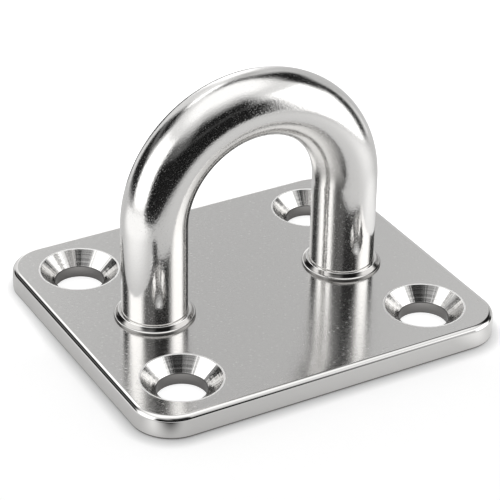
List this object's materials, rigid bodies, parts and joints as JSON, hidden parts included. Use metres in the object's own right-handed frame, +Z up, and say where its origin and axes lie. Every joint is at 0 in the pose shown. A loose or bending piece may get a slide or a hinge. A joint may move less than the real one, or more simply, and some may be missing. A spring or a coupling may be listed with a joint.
{
  "type": "eye plate",
  "caption": "Rectangular stainless steel plate with countersunk screw holes and a round bar bent to a fixed eye, for making fast a line, shackle or hook.",
  "frame": {"origin": "centre of the plate's underside, which lies on the deck or wall it is screwed to", "axes": "+Z up out of the deck towards the eye, +X along the plate's long edge and across the eye's two legs, +Y through the eye"},
  "size_m": [0.048, 0.0414, 0.032],
  "materials": {
    "satin_stainless": "satin brushed",
    "polished_stainless": "polished",
    "polished_weld": "polished",
    "ground_weld": "ground flush"
  },
  "bodies": {
    "root": {"base_plate": "satin_stainless", "eye_bow": "polished_stainless", "weld_bead_left": "polished_weld", "weld_bead_right": "polished_weld", "back_weld_left": "ground_weld", "back_weld_right": "ground_weld"}
  },
  "joints": []
}
